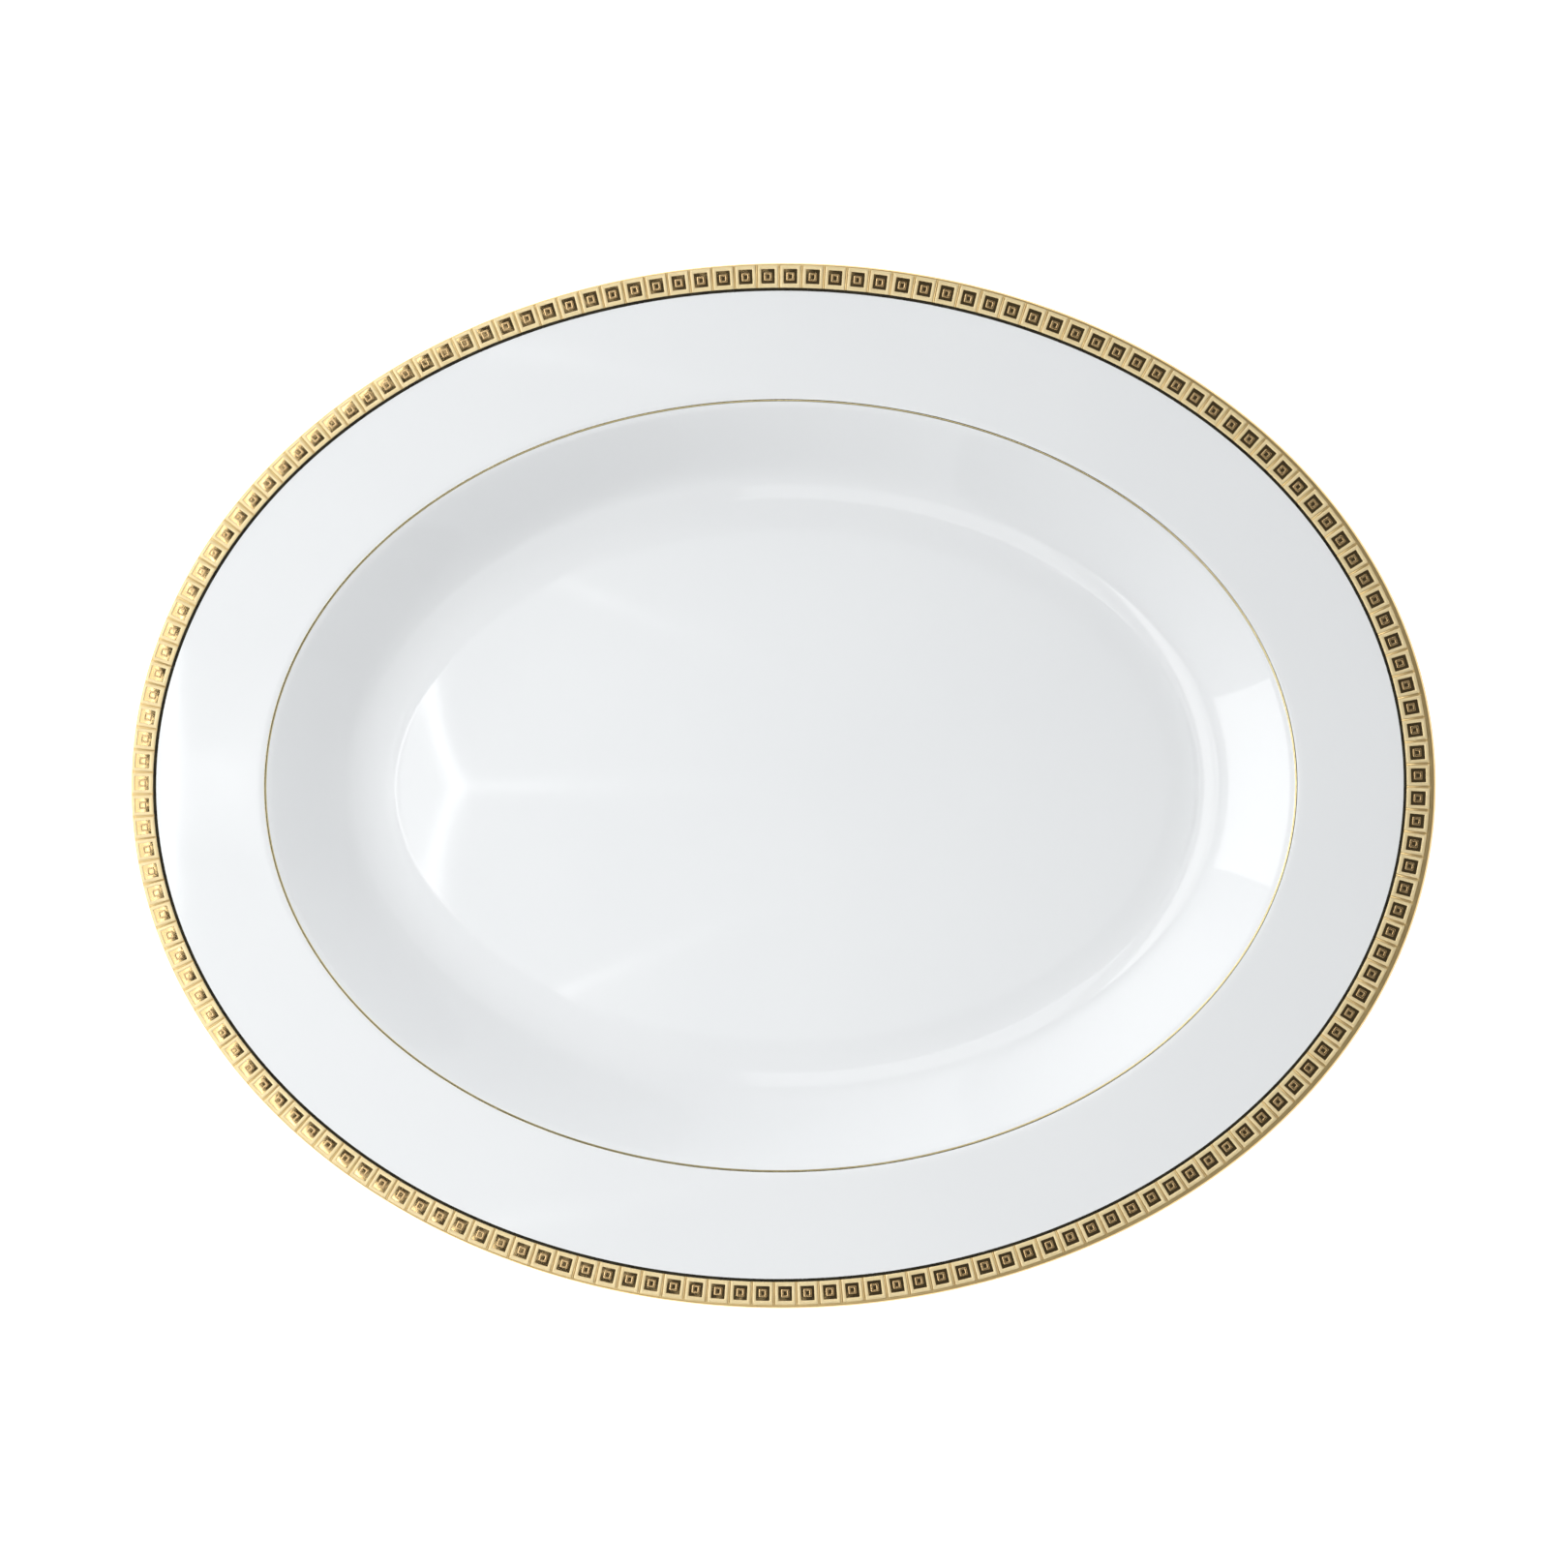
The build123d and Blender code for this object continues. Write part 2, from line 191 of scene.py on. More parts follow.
def under_section():
    """The glazed underside, from the lip's side to the foot ring."""
    under = RIM_TOP - EDGE_THICK
    lip_end = (LIP_UNDER_IN, under)
    fall = RIM_SLOPE * SHOULDER_IN + WALL_THICK - EDGE_THICK
    corner = (SHOULDER_IN - UNDER_BACK, under - fall)
    wall_tangent = (corner[0] + WALL_RUN, corner[1] - WALL_SLOPE * WALL_RUN)
    bend_out = toward(corner, lip_end, UNDER_ROUND)
    bend_in = toward(corner, wall_tangent, UNDER_ROUND)
    foot = (FOOT_OUT, FOOT_TOP)
    foot_tangent = (FOOT_OUT - UNDER_RUN, FOOT_TOP + UNDER_SLOPE * UNDER_RUN)
    return joined([
        stretch([(0.0, RIM_TOP - LIP_DROP), (0.0, under), lip_end], LIP_UNDER_STEPS, True),
        stretch([lip_end, bend_out], RIM_UNDER_STEPS),
        stretch([bend_out, corner, bend_in], BEND_STEPS),
        stretch([bend_in, wall_tangent, foot_tangent, foot], WALL_STEPS),
        stretch([foot, (FOOT_OUT + FOOT_TAPER, BEARING_ROUND)], FOOT_STEPS),
    ])


def recess_section():
    """The glazed recess, from inside the foot ring to its flat middle."""
    inner = FOOT_OUT + FOOT_WIDE
    edge = (inner, RECESS_EDGE)
    return joined([
        stretch([(inner - FOOT_TAPER, BEARING_ROUND), edge], RECESS_EDGE_STEPS),
        stretch([edge, (inner + RECESS_RUN, RECESS_TOP), (RECESS_IN, RECESS_TOP)],
                RECESS_STEPS),
    ])


def offset(points, distance):
    """The run of points moved to the right of its direction by this distance."""
    along = np.gradient(points, axis=0)
    along /= np.linalg.norm(along, axis=1)[:, None]
    normal = np.stack([along[:, 1], -along[:, 0]], axis=1)
    return points + normal * distance


UPPER = upper_section()
UNDER = under_section()
RECESS = recess_section()
OUTSIDE = np.concatenate([UPPER, UNDER[1:]])
TOP_INSETS, TOP_HEIGHTS = UPPER[::-1, 0], UPPER[::-1, 1]


def top_height(insets):
    """Height of the glazed top at these insets."""
    return np.interp(insets, TOP_INSETS, TOP_HEIGHTS)


# ---- meshes ----


def face_outwards(mesh):
    """Turn every face of a closed mesh to its outside."""
    work = bmesh.new()
    work.from_mesh(mesh)
    bmesh.ops.recalc_face_normals(work, faces=work.faces)
    work.to_mesh(mesh)
    work.free()


def new_piece(name, vertices, faces, smooth_deg=SMOOTH_DEG):
    """A smooth-shaded mesh object from vertices in millimetres."""
    mesh = bpy.data.meshes.new(name)
    mesh.from_pydata((np.asarray(vertices) * MM).tolist(), [], faces)
    mesh.validate()
    face_outwards(mesh)
    mesh.polygons.foreach_set("use_smooth", [True] * len(mesh.polygons))
    mesh.set_sharp_from_angle(angle=math.radians(smooth_deg))
    mesh.update()
    piece = bpy.data.objects.new(name, mesh)
    bpy.context.scene.collection.objects.link(piece)
    return piece


def grid_faces(rows, columns, closed_rows=False, start=0):
    """Quads of a grid whose columns close into a ring, and whose rows may too."""
    faces = []
    for r in range(rows if closed_rows else rows - 1):
        below, above = start + r * columns, start + (r + 1) % rows * columns
        for c in range(columns):
            d = (c + 1) % columns
            faces.append((below + c, below + d, above + d, above + c))
    return faces


def oval_rings(section):
    """Vertices of the section carried round the oval, ring by ring."""
    angle = np.linspace(0.0, 2 * math.pi, AROUND, endpoint=False)
    inset, height = section[:, :1], section[:, 1:]
    x = (EDGE_A - inset) * np.cos(angle)
    y = (EDGE_B - inset) * np.sin(angle)
    z = np.broadcast_to(height, x.shape)
    return np.stack([x, y, z], axis=-1).reshape(-1, 3)


def flat_cap(inset, height):
    """Rings from the oval at this inset in to its middle point, which comes last."""
    angle = np.linspace(0.0, 2 * math.pi, AROUND, endpoint=False)
    scale = np.linspace(1.0, 0.0, CAP_RINGS + 1)[1:-1, None]
    x = (EDGE_A - inset) * scale * np.cos(angle)
    y = (EDGE_B - inset) * scale * np.sin(angle)
    points = np.stack([x, y, np.full_like(x, height)], axis=-1).reshape(-1, 3)
    return np.concatenate([points, [[0.0, 0.0, height]]])


def capped_solid(name, section):
    """A closed solid of an open section: both of its ends reach the flat middle."""
    first, last = flat_cap(*section[0]), flat_cap(*section[-1])
    body = oval_rings(section)
    cap_rings = (len(first) - 1) // AROUND
    first_rings = first[:-1].reshape(cap_rings, AROUND, 3)[::-1].reshape(-1, 3)
    grid = np.concatenate([first_rings, body, last[:-1]])
    vertices = np.concatenate([grid, first[-1:], last[-1:]])
    faces = grid_faces(len(grid) // AROUND, AROUND)
    start, end = len(grid), len(grid) - AROUND
    for c in range(AROUND):
        d = (c + 1) % AROUND
        faces.append((start, d, c))
        faces.append((start + 1, end + c, end + d))
    return new_piece(name, vertices, faces)


def shell_section(outer, inner):
    """A layer between two sections that both start at the flat middle."""
    return np.concatenate([outer, inner[::-1]])


def ring_solid(name, loop):
    """A closed ring with this closed section."""
    return new_piece(name, oval_rings(np.asarray(loop)), grid_faces(len(loop), AROUND, True))


# ---- places along the frieze ----


def middle_lengths():
    """Angles round the frieze's middle line, and its length up to each."""
    a, b = EDGE_A - BORDER_MIDDLE, EDGE_B - BORDER_MIDDLE
    angle = np.linspace(0.0, 2 * math.pi, LENGTH_STEPS)
    steps = np.hypot(np.diff(a * np.cos(angle)), np.diff(b * np.sin(angle)))
    return angle, np.concatenate([[0.0], np.cumsum(steps)])


def middle_line(shares):
    """Points and outward normals at these shares of the frieze's length."""
    a, b = EDGE_A - BORDER_MIDDLE, EDGE_B - BORDER_MIDDLE
    angle, length = middle_lengths()
    where = np.interp((-np.asarray(shares) % 1.0) * length[-1], length, angle)
    points = np.stack([a * np.cos(where), b * np.sin(where)], axis=1) + BORDER_SHIFT
    normals = np.stack([np.cos(where) / a, np.sin(where) / b], axis=1)
    return points, normals / np.linalg.norm(normals, axis=1)[:, None]


def inset_of(x, y):
    """The inset of the porcelain's oval that passes under each point, by halving."""
    low, high = np.zeros_like(x), np.full_like(x, DEEPEST_INSET)
    for _ in range(HALVINGS):
        middle = (low + high) / 2
        inside = (x / (EDGE_A - middle)) ** 2 + (y / (EDGE_B - middle)) ** 2 < 1
        low, high = np.where(inside, middle, low), np.where(inside, high, middle)
    return low


def on_gilding(x, y, rise):
    """The points lifted onto the gold film, with this rise above it."""
    return np.stack([x, y, top_height(inset_of(x, y)) + GILT + rise], axis=-1)


def rounded_outline(half_wide, half_deep, radius, middle=0.0):
    """A rectangle with round corners, counterclockwise, as local (along, outward)."""
    points = []
    for turn, (sx, sy) in enumerate(((1, 1), (-1, 1), (-1, -1), (1, -1))):
        for step in range(CORNER_STEPS + 1):
            angle = math.radians(90 * (turn + step / CORNER_STEPS))
            points.append((sx * (half_wide - radius) + radius * math.cos(angle),
                           sy * (half_deep - radius) + radius * math.sin(angle) + middle))
    return np.array(points)


def frieze_copies(name, loops, heights, closed_rows, offset_share=0.0):
    """Copies of a small relief along the frieze, laid on the gilding.

    loops are local outlines of equal length, joined one to the next; where the rows
    don't close, the last loop is filled on top and the first below.
    """
    shares = (np.arange(SQUARES) + FIRST_SQUARE + offset_share) / SQUARES
    centres, normals = middle_line(shares)
    tangents = np.stack([-normals[:, 1], normals[:, 0]], axis=1)
    local = np.concatenate(loops)
    rise = np.repeat(heights, len(loops[0]))
    flat = (centres[:, None] + local[None, :, :1] * tangents[:, None]
            + local[None, :, 1:] * normals[:, None])
    flat = kept_off_edge(flat.reshape(-1, 2))
    vertices = on_gilding(flat[:, 0], flat[:, 1], np.tile(rise, SQUARES))
    count, around = len(local), len(loops[0])
    faces = []
    for copy in range(SQUARES):
        start = copy * count
        faces += grid_faces(len(loops), around, closed_rows, start)
        if not closed_rows:
            faces.append(tuple(range(start, start + around))[::-1])
            faces.append(tuple(range(start + count - around, start + count)))
    return new_piece(name, vertices, faces, RELIEF_SMOOTH_DEG)


def kept_off_edge(flat):
    """Points pulled in where they would pass the edge gap."""
    a, b = EDGE_A - EDGE_GAP, EDGE_B - EDGE_GAP
    reach = np.hypot(flat[:, 0] / a, flat[:, 1] / b)
    return flat / np.maximum(reach, 1.0)[:, None]


# ---- materials ----


def blank_material(name):
    """A node material with only its output, and the handles to build on it."""
    made = bpy.data.materials.new(name)
    made.use_nodes = True
    tree = made.node_tree
    tree.nodes.clear()
    output = tree.nodes.new("ShaderNodeOutputMaterial")
    shader = tree.nodes.new("ShaderNodeBsdfPrincipled")
    tree.links.new(shader.outputs["BSDF"], output.inputs["Surface"])
    return made, tree, shader


def noise(tree, scale, detail=2.0):
    """A noise value over the object's own space, in features per metre."""
    place = tree.nodes.new("ShaderNodeTexCoord")
    texture = tree.nodes.new("ShaderNodeTexNoise")
    texture.inputs["Scale"].default_value = scale
    texture.inputs["Detail"].default_value = detail
    tree.links.new(place.outputs["Object"], texture.inputs["Vector"])
    return texture.outputs["Fac"]


def between(tree, value, tones):
    """A noise value turned into a colour between two tones."""
    node = tree.nodes.new("ShaderNodeValToRGB")
    stops = zip(node.color_ramp.elements, (NOISE_LOW, NOISE_HIGH), tones)
    for element, position, colour in stops:
        element.position = position
        element.color = (*colour, 1.0)
    tree.links.new(value, node.inputs["Fac"])
    return node.outputs["Color"]


def spread(tree, value, low, high):
    """A noise value spread over low to high."""
    node = tree.nodes.new("ShaderNodeMapRange")
    node.inputs["From Min"].default_value = NOISE_LOW
    node.inputs["From Max"].default_value = NOISE_HIGH
    node.inputs["To Min"].default_value = low
    node.inputs["To Max"].default_value = high
    tree.links.new(value, node.inputs["Value"])
    return node.outputs["Result"]


def bumps(tree, layers):
    """Bump layers as (value, depth in metres), one on top of the other."""
    normal = None
    for value, depth in layers:
        node = tree.nodes.new("ShaderNodeBump")
        node.inputs["Strength"].default_value = 1.0
        node.inputs["Distance"].default_value = depth
        tree.links.new(value, node.inputs["Height"])
        if normal is not None:
            tree.links.new(normal, node.inputs["Normal"])
        normal = node.outputs["Normal"]
    return normal


def finish_material(name, tones, roughness, metallic=0.0, *, tone_noise,
                    rough_noise=(60.0, 3.0), bump_layers):
    """Colour between two tones, roughness between two values, and fine relief.

    A noise is (features per metre, detail), and a bump layer adds its depth in metres.
    """
    made, tree, shader = blank_material(name)
    colour = between(tree, noise(tree, *tone_noise), tones)
    tree.links.new(colour, shader.inputs["Base Color"])
    rough = spread(tree, noise(tree, *rough_noise), *roughness)
    tree.links.new(rough, shader.inputs["Roughness"])
    shader.inputs["Metallic"].default_value = metallic
    shader.inputs["IOR"].default_value = 1.5
    layers = [(noise(tree, scale, detail), depth) for scale, detail, depth in bump_layers]
    tree.links.new(bumps(tree, layers), shader.inputs["Normal"])
    return made


def make_materials():
    """Every finish of the platter, by a short name."""
    return {
        "glaze": finish_material(
            "white_glaze", [(0.800, 0.815, 0.825), (0.815, 0.830, 0.838)], (0.03, 0.06),
            tone_noise=(14.0, 2.0), bump_layers=[(28.0, 1.0, 0.00003)]),
        "biscuit": finish_material(
            "biscuit", [(0.72, 0.70, 0.66), (0.80, 0.78, 0.74)], (0.55, 0.8),
            tone_noise=(220.0, 4.0), bump_layers=[(2600.0, 3.0, 0.00006)]),
        "bright_gold": finish_material(
            "bright_gold", [(0.92, 0.65, 0.30), (0.96, 0.70, 0.34)], (0.06, 0.12), 1.0,
            tone_noise=(90.0, 3.0), rough_noise=(300.0, 3.0),
            bump_layers=[(420.0, 2.0, 0.000004)]),
        # Near-black finish of the frieze's inner line, the same colour all round.
        "near_black_line": finish_material(
            "dark_enamel", [(0.012, 0.010, 0.006), (0.030, 0.026, 0.014)], (0.12, 0.24),
            tone_noise=(400.0, 3.0), rough_noise=(500.0, 3.0),
            bump_layers=[(900.0, 2.0, 0.000004)]),
        "etched_gold": finish_material(
            "etched_gold", [(0.91, 0.74, 0.41), (0.97, 0.80, 0.47)], (0.5, 0.62), 0.55,
            tone_noise=(160.0, 3.0), rough_noise=(700.0, 3.0),
            bump_layers=[(5200.0, 3.0, 0.00002)]),
        # Gold of the small rings: the gold is real, but its tone is a darker brown than the
        # frames' gold as a painted reflection of the dark that the rings mirror.
        "ring_gold": finish_material(
            "ring_gold_painted_dark_reflection", [(0.76, 0.53, 0.26), (0.83, 0.59, 0.30)], (0.24, 0.32), 0.97,
            tone_noise=(160.0, 3.0), rough_noise=(700.0, 3.0),
            bump_layers=[(5200.0, 3.0, 0.00001)]),
        "line_gold": finish_material(
            "line_gold", [(0.66, 0.57, 0.33), (0.72, 0.63, 0.38)], (0.14, 0.22), 0.95,
            tone_noise=(80.0, 3.0), rough_noise=(300.0, 3.0),
            bump_layers=[(900.0, 2.0, 0.000004)]),
        "satin_gold": finish_material(
            "satin_gold", [(0.80, 0.59, 0.27), (0.86, 0.65, 0.31)], (0.28, 0.36), 0.75,
            tone_noise=(60.0, 3.0), rough_noise=(240.0, 3.0),
            bump_layers=[(900.0, 2.0, 0.000006)]),
    }


# ---- the platter's pieces ----


def lip_gilding_loop():
    """Closed section of the gold on the lip, from the frieze to half way under."""
    top = UPPER[(UPPER[:, 0] <= LIP_IN) & (UPPER[:, 1] >= RIM_TOP - LIP_DROP)]
    edge_height = float(top_height(EDGE_GAP))
    top = np.concatenate([[(EDGE_GAP, edge_height)], top[top[:, 0] < EDGE_GAP]])
    half = (LIP_UNDER_IN * (1 - ROOT_HALF), RIM_TOP - EDGE_THICK)
    under = UNDER[UNDER[:, 0] < half[0]]
    under = under[under[:, 1] <= RIM_TOP - LIP_DROP]
    seat = joined([top, under])
    return np.concatenate([seat, offset(seat, GILT)[::-1]])


def line_on_section(middle, wide, high):
    """Closed section of a gold line: a low crown on the glaze."""
    share = np.linspace(0.0, 1.0, WELL_LINE_STEPS + 1)
    inset = middle + (share - 0.5) * wide
    seat = np.stack([inset, top_height(inset)], axis=1)
    crown = high * (LINE_EDGE_SHARE + (1 - LINE_EDGE_SHARE) * np.sin(np.pi * share))
    top = seat + np.stack([np.zeros_like(crown), crown], axis=1)
    return np.concatenate([seat[::-1] - [0.0, LINE_SUNK], top])


def edge_reach(centres, normals):
    """How far each point is, along its outward normal, from the ground's outer edge."""
    a, b = EDGE_A - EDGE_GAP, EDGE_B - EDGE_GAP
    scaled, way = centres / (a, b), normals / (a, b)
    square = (way ** 2).sum(axis=1)
    half = (scaled * way).sum(axis=1)
    rest = (scaled ** 2).sum(axis=1) - 1
    return (-half + np.sqrt(half ** 2 - square * rest)) / square


def pillow(along, outward):
    """How far the polished floor of a square lies under the ground's level."""
    half_wide = FRAME_WIDE / 2 - BAR_SIDE
    half_deep = (FRAME_DEEP - BAR_OUT - BAR_IN) / 2
    middle = (BAR_IN - BAR_OUT) / 2
    u = np.clip(along / half_wide, -PILLOW_REACH, PILLOW_REACH)
    v = np.clip((outward - middle) / half_deep, -PILLOW_REACH, PILLOW_REACH)
    return PILLOW * (u ** 2 + v ** 2)


def from_square(slot_share, pitch):
    """Distance along the frieze from the middle of the nearest square."""
    return ((slot_share + 0.5) % 1.0 - 0.5) * pitch


def ground_lines(reach):
    """Distances outward of the ground's rows, kept in order where its edge comes close."""
    last = FRAME_DEEP / 2 - GROUND_ROW_STEP
    rows = np.linspace(-FRAME_DEEP / 2, last - GROUND_ROW_STEP, GROUND_ROWS)
    squeezed = [np.minimum(row, reach - ROW_SQUEEZE * (last - row + ROW_KEEP))
                for row in (*rows, last)]
    return squeezed + [reach]


def gold_ground():
    """The polished band of the frieze, bowed in each square.

    Returns the piece and, for each face, whether it is satin: the strip outside the
    squares and the gaps beside the dividers.
    """
    columns = GROUND_COLUMNS * SQUARES
    slot_share = np.arange(columns) / GROUND_COLUMNS
    centres, normals = middle_line((slot_share + FIRST_SQUARE) / SQUARES)
    pitch = middle_lengths()[1][-1] / SQUARES
    along = from_square(slot_share, pitch)
    upper, lower = [], []
    for out in ground_lines(edge_reach(centres, normals)):
        flat = centres + normals * out[:, None]
        ground = top_height(inset_of(flat[:, 0], flat[:, 1]))
        bowed = np.abs(out) < FRAME_DEEP / 2 - PILLOW_EDGE
        sink = np.where(bowed, pillow(along, out), 0.0)
        upper.append(np.column_stack([flat, ground + GILT - sink]))
        lower.append(np.column_stack([flat, ground]))
    vertices = np.concatenate(lower + upper[::-1])
    faces = grid_faces(2 * len(upper), columns, True)
    ground_piece = new_piece("gold_ground", vertices, faces, RELIEF_SMOOTH_DEG)
    face_middle = from_square(slot_share + 0.5 / GROUND_COLUMNS, pitch)
    in_gap = np.abs(face_middle) > HALF_CLEAR
    outer_strip = range(len(upper) - 2, len(upper) + 1)
    satin = [face // columns in outer_strip or bool(in_gap[face % columns])
             for face in range(len(faces))]
    return ground_piece, satin


def relief_frame(name, wide, deep, side, bar_out, bar_in, high, corner):
    """Square frames with rounded arrises, as closed bars."""
    bevel, knee = RELIEF_BEVEL, RELIEF_BEVEL * BEVEL_KNEE
    middle = (bar_in - bar_out) / 2
    half_open = (wide / 2 - side, (deep - bar_out - bar_in) / 2)
    outer = (wide / 2, deep / 2)

    def outside(inset):
        return rounded_outline(outer[0] - inset, outer[1] - inset,
                               corner - inset * CORNER_LOSS)

    def inside(inset):
        return rounded_outline(half_open[0] + inset, half_open[1] + inset,
                               corner * INNER_CORNER + inset, middle)

    loops = [outside(0.0), outside(0.0), outside(knee), outside(bevel),
             inside(bevel), inside(knee), inside(0.0), inside(0.0)]
    heights = [SUNK, high - bevel, high - knee, high,
               high, high - knee, high - bevel, SUNK]
    return frieze_copies(name, loops, heights, True)


def dividers():
    """The thin bars between the squares, with rounded arrises."""
    half_wide, half_deep = DIVIDER_WIDE / 2, FRAME_DEEP / 2
    side = rounded_outline(half_wide, half_deep, DIVIDER_CORNER)
    top = rounded_outline(half_wide - DIVIDER_BEVEL, half_deep - DIVIDER_BEVEL,
                          DIVIDER_TOP_CORNER)
    heights = [SUNK, DIVIDER_HIGH - DIVIDER_BEVEL, DIVIDER_HIGH]
    return frieze_copies("gold_dividers", [side, side, top], heights, False, 0.5)


def inner_line():
    """A near-black line along the frieze's inner side."""
    columns = AROUND * 2
    centres, normals = middle_line(np.arange(columns) / columns)

    def ring(share, rise):
        flat = centres - normals * (FRAME_DEEP / 2 + share * LINE_WIDE)
        ground = top_height(inset_of(flat[:, 0], flat[:, 1]))
        return np.column_stack([flat, ground + rise])

    shares = np.linspace(0.0, 1.0, INNER_LINE_RINGS)
    crown = [ring(s, LINE_HIGH * (1 - LINE_FALL * s ** LINE_CURVE)) for s in shares]
    seat = [ring(s, -LINE_SUNK) for s in shares[::-1]]
    vertices = np.concatenate(crown + seat)
    faces = grid_faces(len(crown + seat), columns, True)
    return new_piece("frieze_inner_line", vertices, faces, RELIEF_SMOOTH_DEG)


def make_platter(looks):
    """Make every piece, each with the CAD node, finish and record slot it has."""
    glaze_in = offset(OUTSIDE, -GLAZE)
    recess_in = offset(RECESS, -GLAZE)
    ground, satin_faces = gold_ground()
    pieces = [
        (capped_solid("white_glaze_coat", shell_section(OUTSIDE, glaze_in)),
         "glaze_coat", "glaze", "clear_glaze"),
        (capped_solid("foot_recess_glaze_coat", shell_section(RECESS[::-1], recess_in[::-1])),
         "foot_recess_glaze", "glaze", "clear_glaze"),
        (ring_solid("lip_gilding", lip_gilding_loop()),
         "rim_edge_gold", "satin_gold", "polished_gold"),
        (ground, "border_gold_ground", "bright_gold", "polished_gold"),
        (relief_frame("gold_square_frames", FRAME_WIDE, FRAME_DEEP, BAR_SIDE, BAR_OUT, BAR_IN,
                      FRAME_HIGH, FRAME_CORNER),
         "border_square_frames", "etched_gold", "matte_gold"),
        # The rings get the gold whose darker tone is a painted dark reflection.
        (relief_frame("gold_square_rings", RING_WIDE, RING_DEEP, RING_SIDE, RING_END, RING_END,
                      RING_HIGH, RING_CORNER),
         "border_square_rings", "ring_gold", "matte_gold"),
        (dividers(), "border_dividers", "satin_gold", "matte_gold"),
        (inner_line(), "border_inner_line", "near_black_line", "dark_enamel"),
        (ring_solid("well_gilt_line", line_on_section(WELL_LINE_IN, WELL_LINE_WIDE, LINE_HIGH)),
         "well_gold_line", "line_gold", "polished_gold"),
    ]
    for piece, node, look, slot in pieces:
        piece.data.materials.append(looks[look])
        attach(piece, "root")
        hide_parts(node)
    ground.data.materials.append(looks["satin_gold"])
    ground.data.polygons.foreach_set("material_index", [int(satin) for satin in satin_faces])
    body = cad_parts["porcelain_body"]
    for slot in body.material_slots:
        slot.material = looks["biscuit"]


# ---- stage, light and camera ----


def make_floor():
    """A wide pale floor just under the platter's foot."""
    steps = np.linspace(-FLOOR_HALF, FLOOR_HALF, FLOOR_CELLS + 1)
    x, y = np.meshgrid(steps, steps)
    vertices = np.stack([x, y, np.full_like(x, FLOOR_Z)], axis=-1).reshape(-1, 3)
    across = FLOOR_CELLS + 1
    corners = [r * across + c for r in range(FLOOR_CELLS) for c in range(FLOOR_CELLS)]
    faces = [(k, k + 1, k + across + 1, k + across) for k in corners]
    floor = new_piece("pale_floor", vertices / MM, faces)
    made, tree, shader = blank_material("pale_floor")
    colour = between(tree, noise(tree, 3.0), [(0.90, 0.90, 0.90), (0.93, 0.93, 0.93)])
    tree.links.new(colour, shader.inputs["Base Color"])
    shader.inputs["Roughness"].default_value = 0.9
    shader.inputs["Specular IOR Level"].default_value = 0.1
    shader.inputs["Emission Color"].default_value = (1.0, 1.0, 1.0, 1.0)
    shader.inputs["Emission Strength"].default_value = FLOOR_GLOW
    floor.data.materials.append(made)


def soft_light(name, place, target, size, radiance):
    """An area light of this radiance (1 is white), facing its target; metres."""
    data = bpy.data.lights.new(name, "AREA")
    data.shape = "RECTANGLE"
    data.size, data.size_y = size
    data.energy = radiance * math.pi * size[0] * size[1]
    light = bpy.data.objects.new(name, data)
    light.location = place
    way = Vector(target) - Vector(place)
    light.rotation_euler = way.to_track_quat("-Z", "Y").to_euler()
    bpy.context.scene.collection.objects.link(light)
    return light


def calc(tree, operation, first, second=0.0, third=0.0):
    """A math node on values that are numbers or sockets."""
    node = tree.nodes.new("ShaderNodeMath")
    node.operation = operation
    for socket, value in zip(node.inputs, (first, second, third)):
        if isinstance(value, (int, float)):
            socket.default_value = value
        else:
            tree.links.new(value, socket)
    return node.outputs["Value"]


def falloff(tree, distance, reach):
    """1 at distance 0, falling smoothly to 0 at this reach either way."""
    share = calc(tree, "DIVIDE", distance, reach)
    square = calc(tree, "MULTIPLY", share, share)
    return calc(tree, "EXPONENT", calc(tree, "MULTIPLY", square, -1.0))


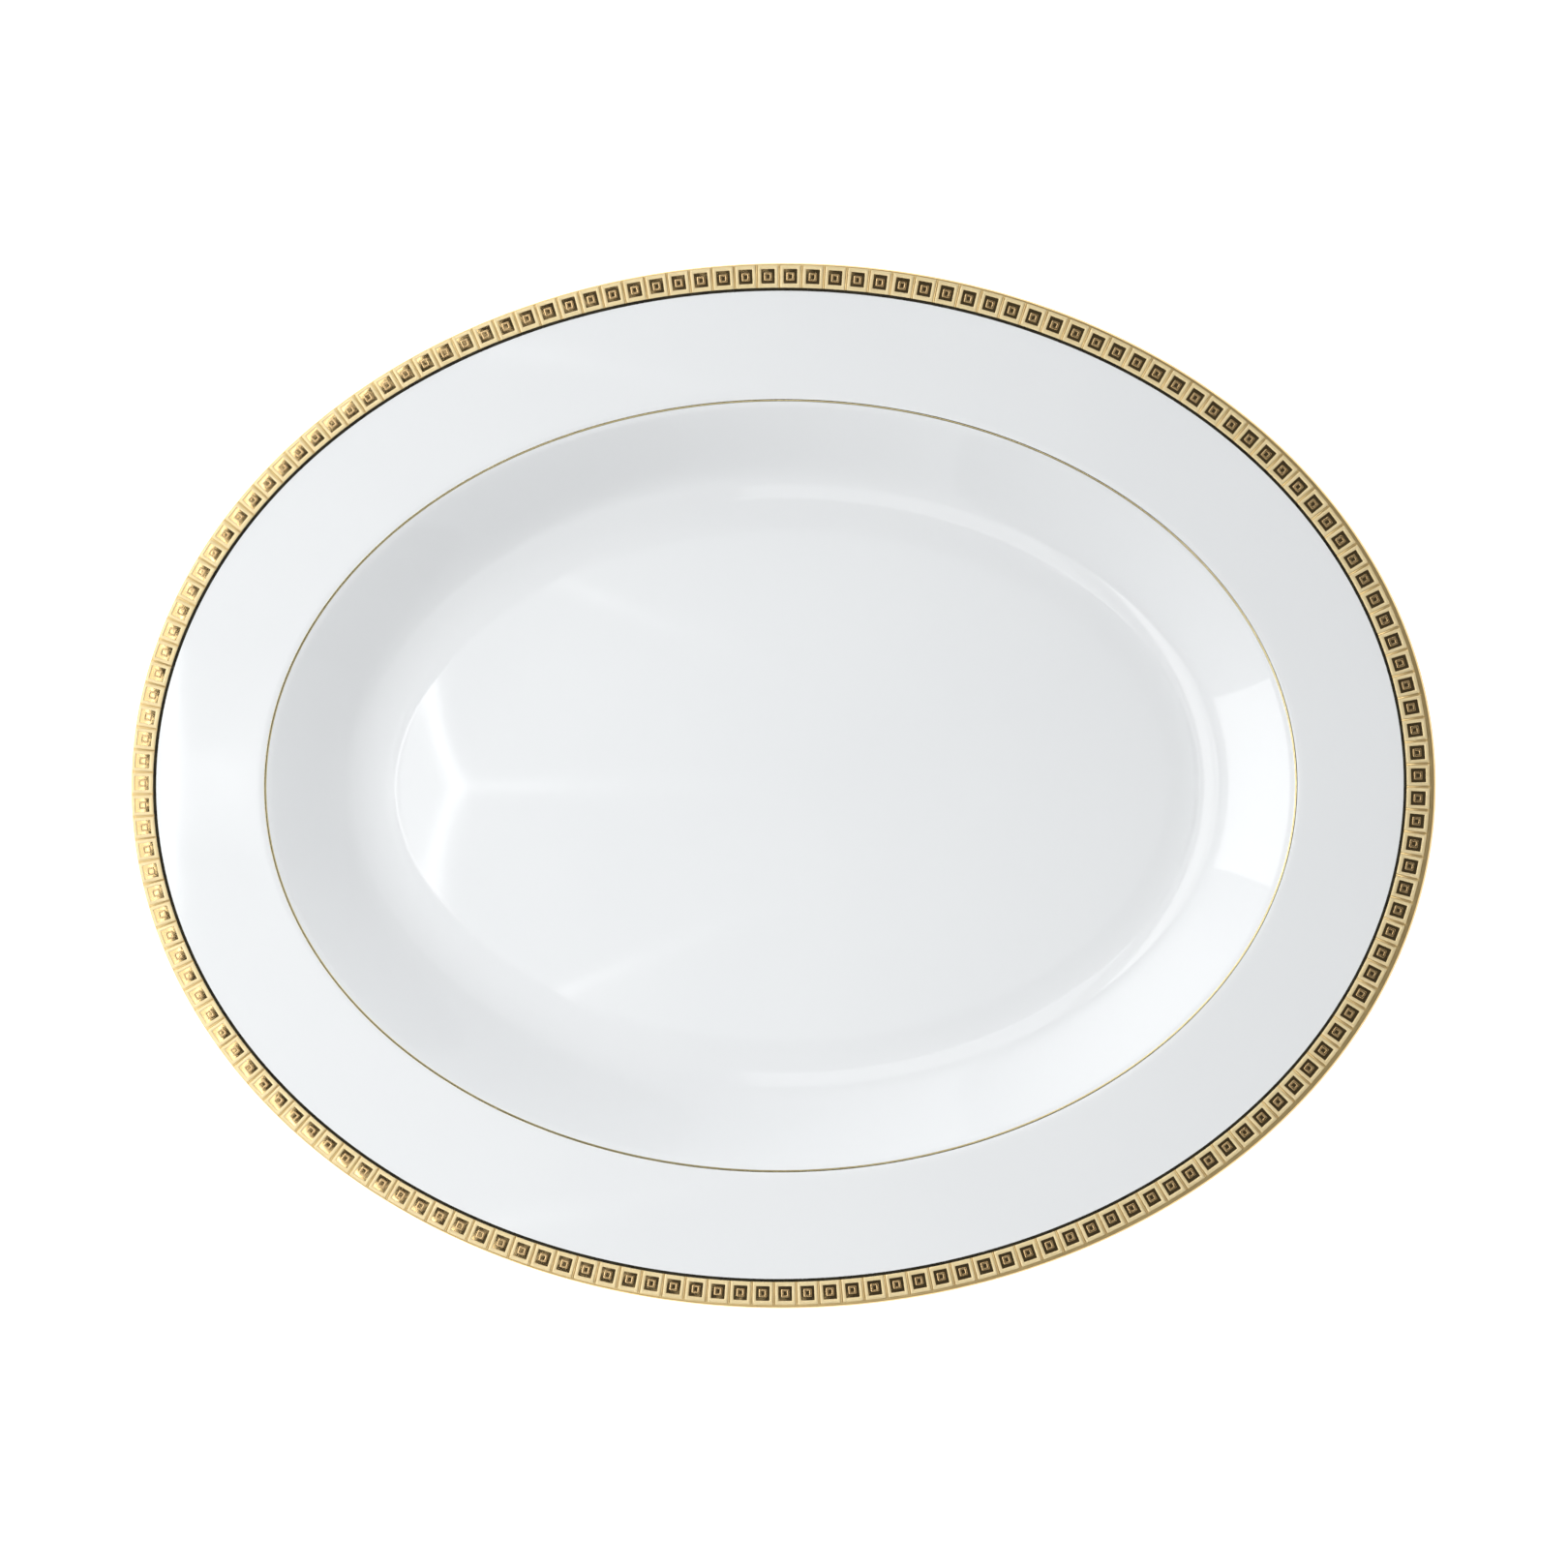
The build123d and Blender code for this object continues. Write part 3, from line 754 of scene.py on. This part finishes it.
def umbrella_light():
    """Soft light that comes in past the scalloped edge of a dark, ribbed umbrella.

    The umbrella is over the platter. Only what shows at its left is lit: the light
    beyond the edge, the edge itself and the ribs that lead to it.
    """
    light = soft_light("umbrella_light", (UMBRELLA_LIGHT_X, 0.0, UMBRELLA_HIGH),
                       (UMBRELLA_LIGHT_X, 0.0, 0.0), UMBRELLA_LIGHT_SIZE, 1.0)
    light.data.use_nodes = True
    tree = light.data.node_tree
    emission = next(n for n in tree.nodes if n.type == "EMISSION")
    position = tree.nodes.new("ShaderNodeNewGeometry").outputs["Position"]
    axes = tree.nodes.new("ShaderNodeSeparateXYZ")
    tree.links.new(position, axes.inputs["Vector"])
    left = calc(tree, "SUBTRACT", UMBRELLA_HUB[0], axes.outputs["X"])
    aside = calc(tree, "SUBTRACT", axes.outputs["Y"], UMBRELLA_HUB[1])
    left_square = calc(tree, "MULTIPLY", left, left)
    aside_square = calc(tree, "MULTIPLY", aside, aside)
    radius = calc(tree, "SQRT", calc(tree, "ADD", left_square, aside_square))
    sector = calc(tree, "DIVIDE", calc(tree, "ARCTAN2", aside, left), UMBRELLA_SECTOR)
    from_rib = calc(tree, "PINGPONG", calc(tree, "ADD", sector, UMBRELLA_SECTORS), 0.5)
    bow = calc(tree, "SINE", calc(tree, "MULTIPLY", from_rib, math.pi))
    scallop = calc(tree, "MULTIPLY", bow, UMBRELLA_SCALLOP)
    past_edge = calc(tree, "ADD", calc(tree, "SUBTRACT", radius, UMBRELLA_RADIUS), scallop)
    beyond = calc(tree, "MULTIPLY_ADD", past_edge, 1.0 / UMBRELLA_EDGE_SOFT, 0.5)
    beyond = calc(tree, "MINIMUM", calc(tree, "MAXIMUM", beyond, 0.0), 1.0)
    edge = falloff(tree, past_edge, UMBRELLA_EDGE_WIDE)
    rib_off = calc(tree, "MULTIPLY", calc(tree, "MULTIPLY", from_rib, UMBRELLA_SECTOR), radius)
    rib = calc(tree, "MULTIPLY", falloff(tree, rib_off, UMBRELLA_RIB_WIDE),
               falloff(tree, past_edge, UMBRELLA_RIB_LONG))
    rib = calc(tree, "MULTIPLY", rib, calc(tree, "SUBTRACT", 1.0, beyond))
    total = calc(tree, "MULTIPLY", beyond, BEYOND_GLOW)
    total = calc(tree, "MULTIPLY_ADD", edge, EDGE_GLOW, total)
    total = calc(tree, "MULTIPLY_ADD", rib, RIB_GLOW, total)
    tree.links.new(total, emission.inputs["Strength"])


def make_world():
    """A studio of soft lobes of light on a dark ground."""
    world = bpy.data.worlds.new("studio")
    world.use_nodes = True
    bpy.context.scene.world = world
    tree = world.node_tree
    tree.nodes.clear()
    output = tree.nodes.new("ShaderNodeOutputWorld")
    background = tree.nodes.new("ShaderNodeBackground")
    background.inputs["Color"].default_value = (*STUDIO_TINT, 1.0)
    way = tree.nodes.new("ShaderNodeTexCoord").outputs["Generated"]
    total = STUDIO_DARK
    for azimuth, elevation, narrowness, strength in STUDIO_LOBES:
        turn, rise = math.radians(azimuth), math.radians(elevation)
        toward_lobe = tree.nodes.new("ShaderNodeVectorMath")
        toward_lobe.operation = "DOT_PRODUCT"
        tree.links.new(way, toward_lobe.inputs[0])
        flat = math.cos(rise)
        lobe_way = (math.cos(turn) * flat, math.sin(turn) * flat, math.sin(rise))
        toward_lobe.inputs[1].default_value = lobe_way
        ahead = calc(tree, "MAXIMUM", toward_lobe.outputs["Value"], 0.0)
        lobe = calc(tree, "POWER", ahead, narrowness)
        total = calc(tree, "MULTIPLY_ADD", lobe, strength, total)
    tree.links.new(total, background.inputs["Strength"])
    tree.links.new(background.outputs["Background"], output.inputs["Surface"])


def make_lights():
    """The studio round the platter, the umbrella light and the softboxes."""
    make_world()
    umbrella_light()
    for *box, in_reflections in SOFTBOXES:
        light = soft_light(*box)
        light.visible_glossy = in_reflections


def make_camera():
    """A camera that looks down on the platter, tilted a little toward +X."""
    data = bpy.data.cameras.new("camera")
    data.sensor_width = SENSOR_WIDE
    data.lens = CAMERA_LENS
    data.clip_start, data.clip_end = CAMERA_NEAR, CAMERA_FAR
    camera = bpy.data.objects.new("camera", data)
    tilt = math.radians(CAMERA_TILT_DEG)
    back = Vector((math.sin(tilt), 0.0, math.cos(tilt)))
    right = Vector((math.cos(tilt), 0.0, -math.sin(tilt)))
    camera.location = Vector(CAMERA_AIM) + back * CAMERA_DISTANCE
    turn = Matrix((right, back.cross(right), back)).transposed()
    roll = Matrix.Rotation(math.radians(CAMERA_ROLL_DEG), 3, "Z")
    camera.rotation_euler = (turn @ roll).to_euler()
    bpy.context.scene.collection.objects.link(camera)
    bpy.context.scene.camera = camera


def set_view():
    """Plain colours, with no film look."""
    view = bpy.context.scene.view_settings
    view.view_transform = "Standard"
    view.look = "None"
    view.exposure = 0.0


set_view()
make_platter(make_materials())
make_floor()
make_lights()
make_camera()
